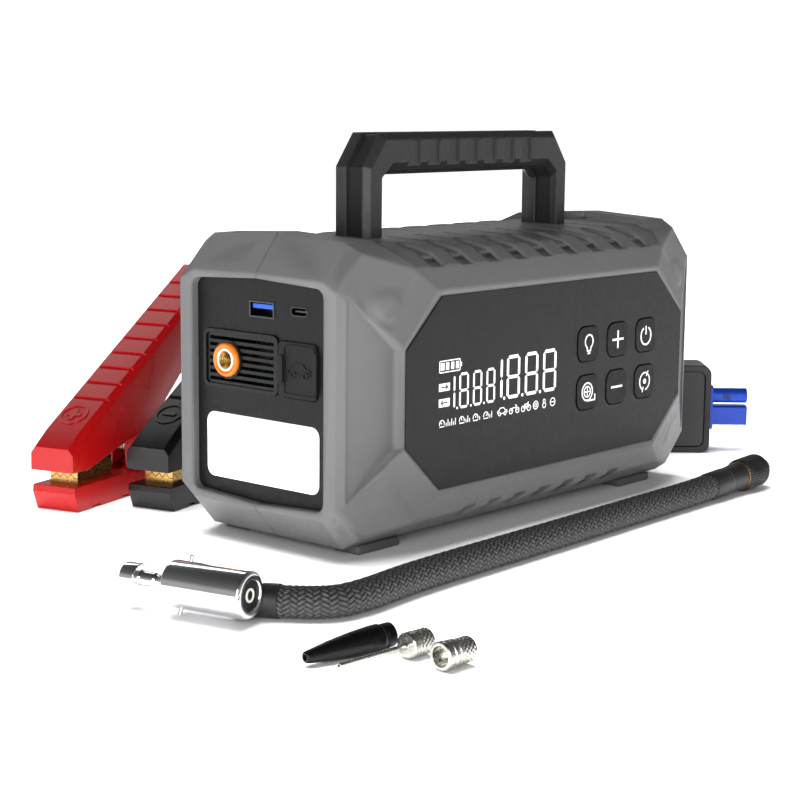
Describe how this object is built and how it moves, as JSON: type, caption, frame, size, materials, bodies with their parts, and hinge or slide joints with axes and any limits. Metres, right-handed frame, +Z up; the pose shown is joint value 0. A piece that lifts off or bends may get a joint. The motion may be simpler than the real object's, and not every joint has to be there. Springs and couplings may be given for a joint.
{
  "type": "jump starter pack",
  "caption": "Portable car jump starter with a built-in tyre inflator, carry handle, display and keys, with battery clamps, lead box, air hose and adapters.",
  "frame": {"origin": "on the floor, midway between the four rubber feet of the housing", "axes": "+X along the housing away from the port end, -Y out of the display, +Z up"},
  "size_m": [0.4269, 0.3174, 0.1636],
  "materials": {
    "housing_grey": "fine texture",
    "panel_black": "smooth matte",
    "window": "satin",
    "button": "soft touch",
    "handle": "fine texture",
    "handle_band": "matte",
    "feet": "matte",
    "screws": "zinc",
    "lens": "diffuse white",
    "boards": "solder mask",
    "orange": "satin",
    "brass": "polished",
    "steel_shell": "plated",
    "usb_blue": "satin",
    "cover_rubber": "matte",
    "socket_black": "matte",
    "cells": "foil",
    "compressor": "die cast",
    "red_plastic": "satin",
    "black_plastic": "satin",
    "box_grey": "satin",
    "plug_blue": "satin",
    "braid": "braided nylon",
    "fitting_black": "satin",
    "insert": "gloss",
    "chrome": "polished",
    "nickel": "nickel plated"
  },
  "bodies": {
    "housing": {"front_shell": "housing_grey", "rear_shell": "housing_grey", "housing_screws": "screws", "display_window": "window", "rear_panel": "panel_black", "display_board": "boards", "port_panel": "panel_black", "end_panel": "panel_black", "light_lens": "lens", "light_board": "boards", "outlet_grille": "panel_black", "outlet_ring": "orange", "outlet_socket": "brass", "usb_a_shell": "steel_shell", "usb_a_tongue": "usb_blue", "usb_c_port": "steel_shell", "jumper_socket": "socket_black", "handle_front_half": "handle", "handle_rear_half": "handle", "handle_core": "handle_band", "foot_pads": "feet", "battery_cells": "cells", "main_board": "boards", "compressor_motor": "compressor", "compressor_head": "compressor"},
    "cover": {"jumper_cover": "cover_rubber"},
    "button_light_body": {"button_light": "button"},
    "button_plus_body": {"button_plus": "button"},
    "button_power_body": {"button_power": "button"},
    "button_inflate_body": {"button_inflate": "button"},
    "button_minus_body": {"button_minus": "button"},
    "button_mode_body": {"button_mode": "button"},
    "red_clamp": {"red_lower_arm": "red_plastic", "red_pivot_pin": "steel_shell", "red_spring": "steel_shell", "red_lower_jaw": "brass"},
    "red_lever": {"red_upper_arm": "red_plastic", "red_upper_jaw": "brass"},
    "black_clamp": {"black_lower_arm": "black_plastic", "black_pivot_pin": "steel_shell", "black_spring": "steel_shell", "black_lower_jaw": "brass"},
    "black_lever": {"black_upper_arm": "black_plastic", "black_upper_jaw": "brass"},
    "lead_box_body": {"lead_box": "black_plastic", "lead_box_face": "box_grey", "lead_plug": "plug_blue"},
    "hose_set": {"hose": "braid", "air_plug_barrel": "chrome", "air_plug_insert": "insert", "air_plug_stem": "chrome", "hose_sleeve": "fitting_black", "chuck_sleeve": "fitting_black", "chuck_core": "brass"},
    "collar": {"chuck_collar": "fitting_black"},
    "nozzle": {"nozzle_adapter": "fitting_black"},
    "needle": {"needle_adapter": "nickel"},
    "valve": {"valve_adapter": "nickel"}
  },
  "joints": [
    {"name": "button_light_press", "type": "slide", "parent": "housing", "child": "button_light_body", "axis": [0, 1, 0], "range_m": [0, 0.0008], "stiffness_N_per_m": 900, "springref_m": -0.0006},
    {"name": "button_plus_press", "type": "slide", "parent": "housing", "child": "button_plus_body", "axis": [0, 1, 0], "range_m": [0, 0.0008], "stiffness_N_per_m": 900, "springref_m": -0.0006},
    {"name": "button_power_press", "type": "slide", "parent": "housing", "child": "button_power_body", "axis": [0, 1, 0], "range_m": [0, 0.0008], "stiffness_N_per_m": 900, "springref_m": -0.0006},
    {"name": "button_inflate_press", "type": "slide", "parent": "housing", "child": "button_inflate_body", "axis": [0, 1, 0], "range_m": [0, 0.0008], "stiffness_N_per_m": 900, "springref_m": -0.0006},
    {"name": "button_minus_press", "type": "slide", "parent": "housing", "child": "button_minus_body", "axis": [0, 1, 0], "range_m": [0, 0.0008], "stiffness_N_per_m": 900, "springref_m": -0.0006},
    {"name": "button_mode_press", "type": "slide", "parent": "housing", "child": "button_mode_body", "axis": [0, 1, 0], "range_m": [0, 0.0008], "stiffness_N_per_m": 900, "springref_m": -0.0006},
    {"name": "cover_hinge", "type": "hinge", "parent": "housing", "child": "cover", "pos_m": [-0.1192, -0.0303, 0.0732], "axis": [0, 0, 1], "range_deg": [0, 110]},
    {"name": "red_clamp_lift", "type": "slide", "parent": "housing", "child": "red_clamp", "axis": [0, 0, 1], "range_m": [0, 0.06]},
    {"name": "red_clamp_open", "type": "hinge", "parent": "red_clamp", "child": "red_lever", "pos_m": [-0.07894, 0.1146, 0.021], "axis": [-0.2588, 0.9659, 0], "range_deg": [0, 25], "stiffness_Nm_per_rad": 1.5, "springref_deg": -8.59},
    {"name": "black_clamp_lift", "type": "slide", "parent": "housing", "child": "black_clamp", "axis": [0, 0, 1], "range_m": [0, 0.06]},
    {"name": "black_clamp_open", "type": "hinge", "parent": "black_clamp", "child": "black_lever", "pos_m": [-0.04971, 0.08417, 0.021], "axis": [-0.225, 0.9744, 0], "range_deg": [0, 25], "stiffness_Nm_per_rad": 1.5, "springref_deg": -8.59},
    {"name": "lead_box_lift", "type": "slide", "parent": "housing", "child": "lead_box_body", "axis": [0, 0, 1], "range_m": [0, 0.06]},
    {"name": "hose_lift", "type": "slide", "parent": "housing", "child": "hose_set", "axis": [0, 0, 1], "range_m": [0, 0.06]},
    {"name": "collar_spin", "type": "hinge", "parent": "hose_set", "child": "collar", "pos_m": [0.11477, -0.08364, 0.00786], "axis": [0.9992, 0.0238, 0.0333], "continuous": true},
    {"name": "nozzle_lift", "type": "slide", "parent": "housing", "child": "nozzle", "axis": [0, 0, 1], "range_m": [0, 0.05]},
    {"name": "needle_lift", "type": "slide", "parent": "housing", "child": "needle", "axis": [0, 0, 1], "range_m": [0, 0.05]},
    {"name": "valve_lift", "type": "slide", "parent": "housing", "child": "valve", "axis": [0, 0, 1], "range_m": [0, 0.05]}
  ]
}
